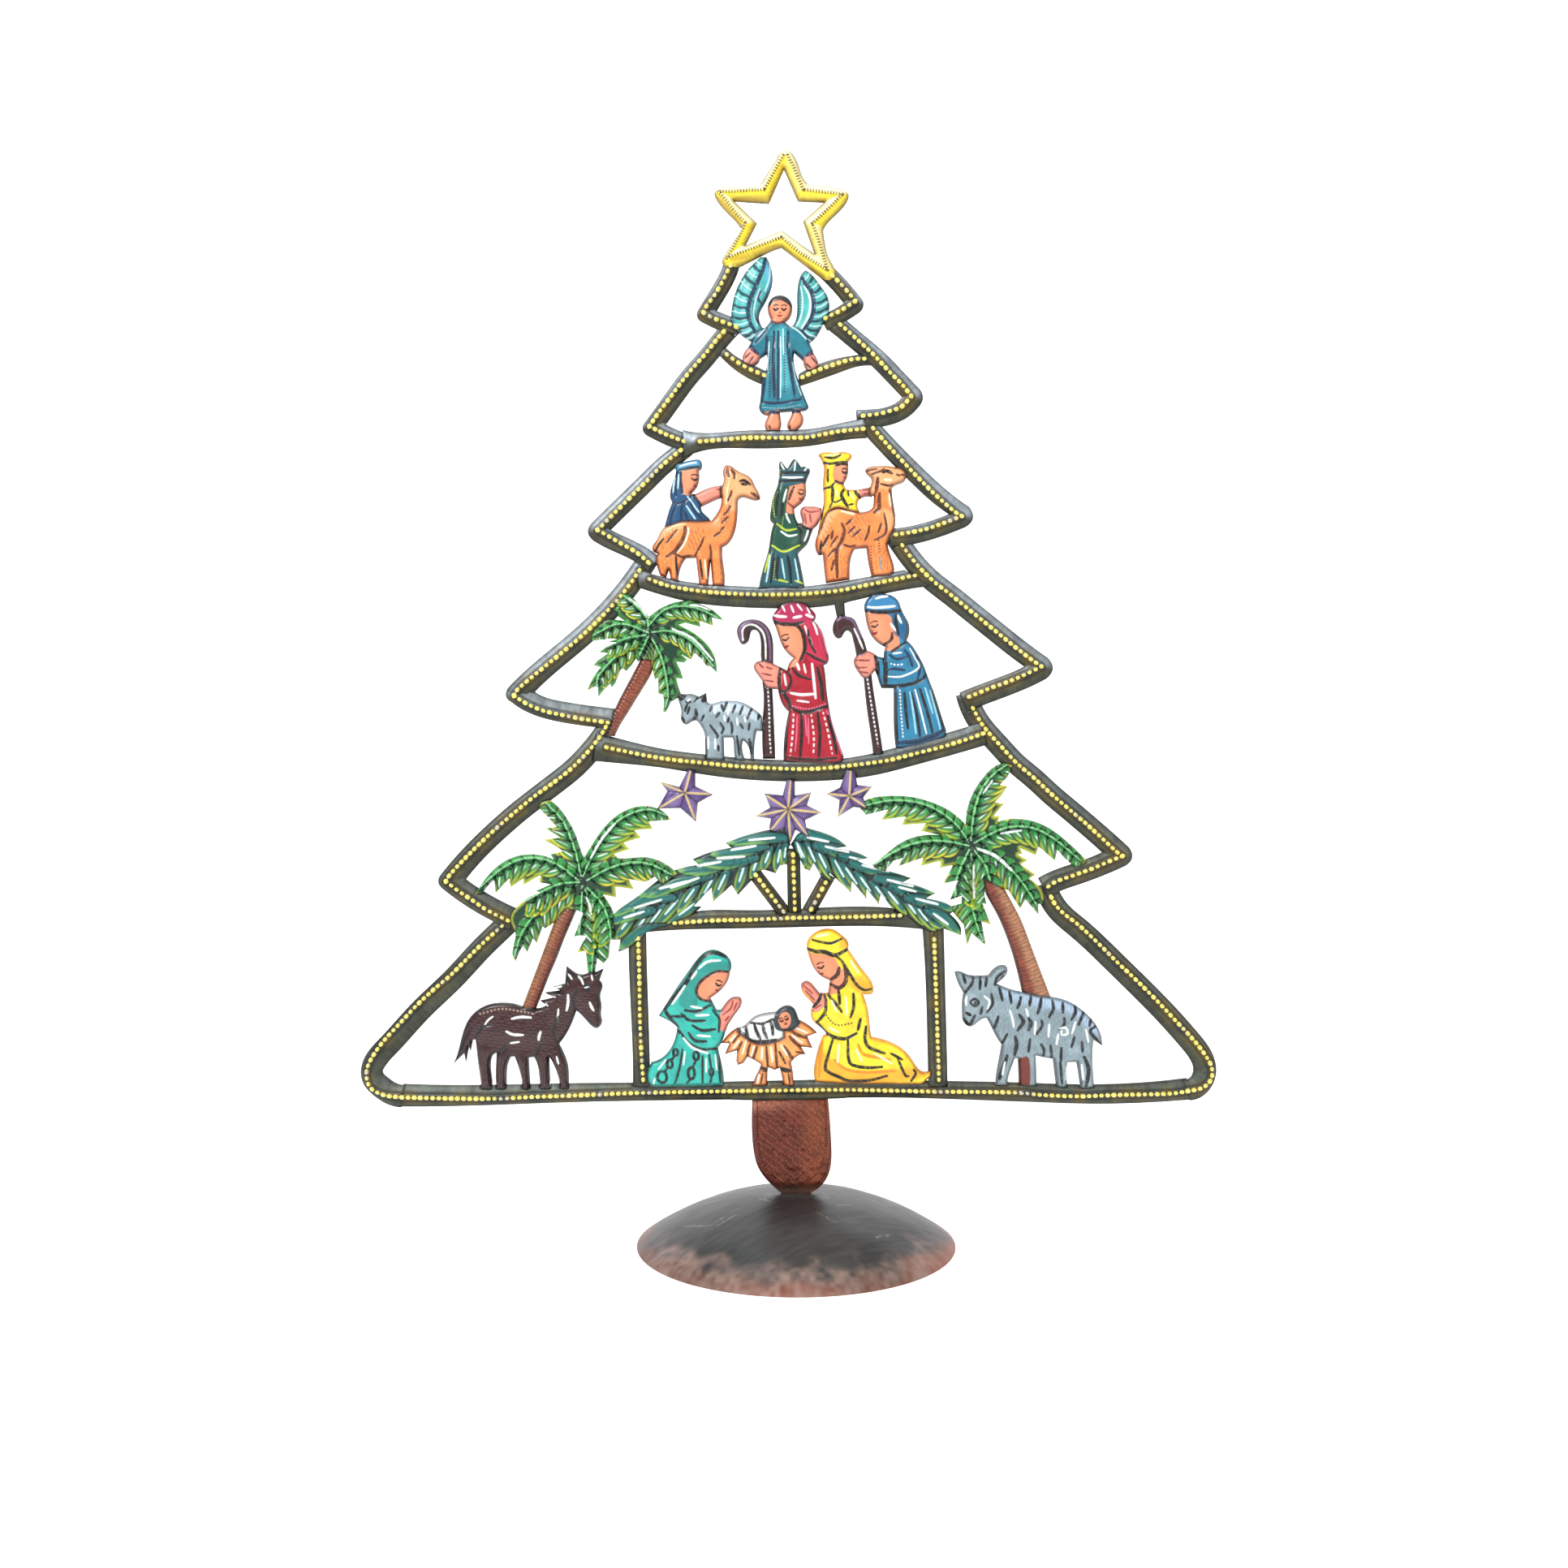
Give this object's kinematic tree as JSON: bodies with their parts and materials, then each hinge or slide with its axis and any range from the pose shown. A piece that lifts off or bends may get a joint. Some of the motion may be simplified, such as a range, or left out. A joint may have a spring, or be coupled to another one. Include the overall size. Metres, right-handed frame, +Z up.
{
  "type": "nativity tree stand figure",
  "caption": "Flat cut-metal Christmas tree with nativity figures on its ledges, star on top, standing in a slot in a domed metal foot.",
  "frame": {"origin": "on the surface the foot stands on, under the middle of the tree's width and depth", "axes": "+Z up; +X to the viewer's right; the worked face towards -Y"},
  "size_m": [0.3396, 0.126, 0.4338],
  "materials": {
    "frame_steel": "clear-lacquered dark drum steel, chased",
    "bare_steel": "hammered and brushed steel with a copper tint at the rim",
    "copper_lacquer": "hammered copper-brown lacquer",
    "gold_paint": "gloss pale gold paint",
    "teal_paint": "gloss teal paint",
    "blue_paint": "gloss blue paint",
    "orange_paint": "gloss orange paint",
    "green_paint": "gloss green paint with yellow tips",
    "yellow_paint": "gloss yellow paint",
    "brown_paint": "red-brown paint",
    "dark_brown_paint": "dark brown paint",
    "grey_paint": "pale blue-grey paint with black strokes",
    "red_paint": "gloss crimson paint",
    "purple_paint": "purple paint with gold ridges",
    "thatch_paint": "dark green paint with yellow edges",
    "turquoise_paint": "gloss turquoise paint",
    "straw_paint": "straw orange paint",
    "white_paint": "white paint with black bands"
  },
  "bodies": {
    "base": {"base_dome": "bare_steel"},
    "tree": {"trunk": "copper_lacquer", "floor_bar": "frame_steel", "left_rail_1": "frame_steel", "right_rail_1": "frame_steel", "left_rail_2": "frame_steel", "right_rail_2": "frame_steel", "left_rail_3": "frame_steel", "right_rail_3": "frame_steel", "left_rail_4": "frame_steel", "right_rail_4": "frame_steel", "left_rail_5": "frame_steel", "right_rail_5": "frame_steel", "left_rail_6": "frame_steel", "right_rail_6": "frame_steel", "arm_bar_left": "frame_steel", "arm_bar_right": "frame_steel", "ledge_1": "frame_steel", "ledge_2": "frame_steel", "ledge_3": "frame_steel", "stable_post_left": "frame_steel", "stable_post_right": "frame_steel", "stable_beam": "frame_steel", "rafter_left": "frame_steel", "king_post": "frame_steel", "rafter_right": "frame_steel", "star_topper": "gold_paint", "angel": "teal_paint", "angel_wing_left": "teal_paint", "angel_wing_right": "teal_paint", "rider_1": "blue_paint", "camel_1": "orange_paint", "king": "green_paint", "rider_2": "yellow_paint", "camel_2": "orange_paint", "palm_small_fronds": "green_paint", "palm_small_trunk": "brown_paint", "sheep_small": "grey_paint", "shepherd_red": "red_paint", "crook_red": "brown_paint", "shepherd_blue": "blue_paint", "crook_blue": "brown_paint", "purple_star_left": "purple_paint", "purple_star_centre": "purple_paint", "purple_star_right": "purple_paint", "palm_left_fronds": "green_paint", "palm_left_trunk": "brown_paint", "palm_right_fronds": "green_paint", "palm_right_trunk": "brown_paint", "thatch_left": "thatch_paint", "thatch_right": "thatch_paint", "donkey": "dark_brown_paint", "mary": "turquoise_paint", "manger": "straw_paint", "baby": "white_paint", "joseph": "yellow_paint", "sheep_large": "grey_paint"}
  },
  "joints": [
    {"name": "tree_lift", "type": "slide", "parent": "base", "child": "tree", "axis": [0, 0, 1], "range_m": [0, 0.03]}
  ]
}
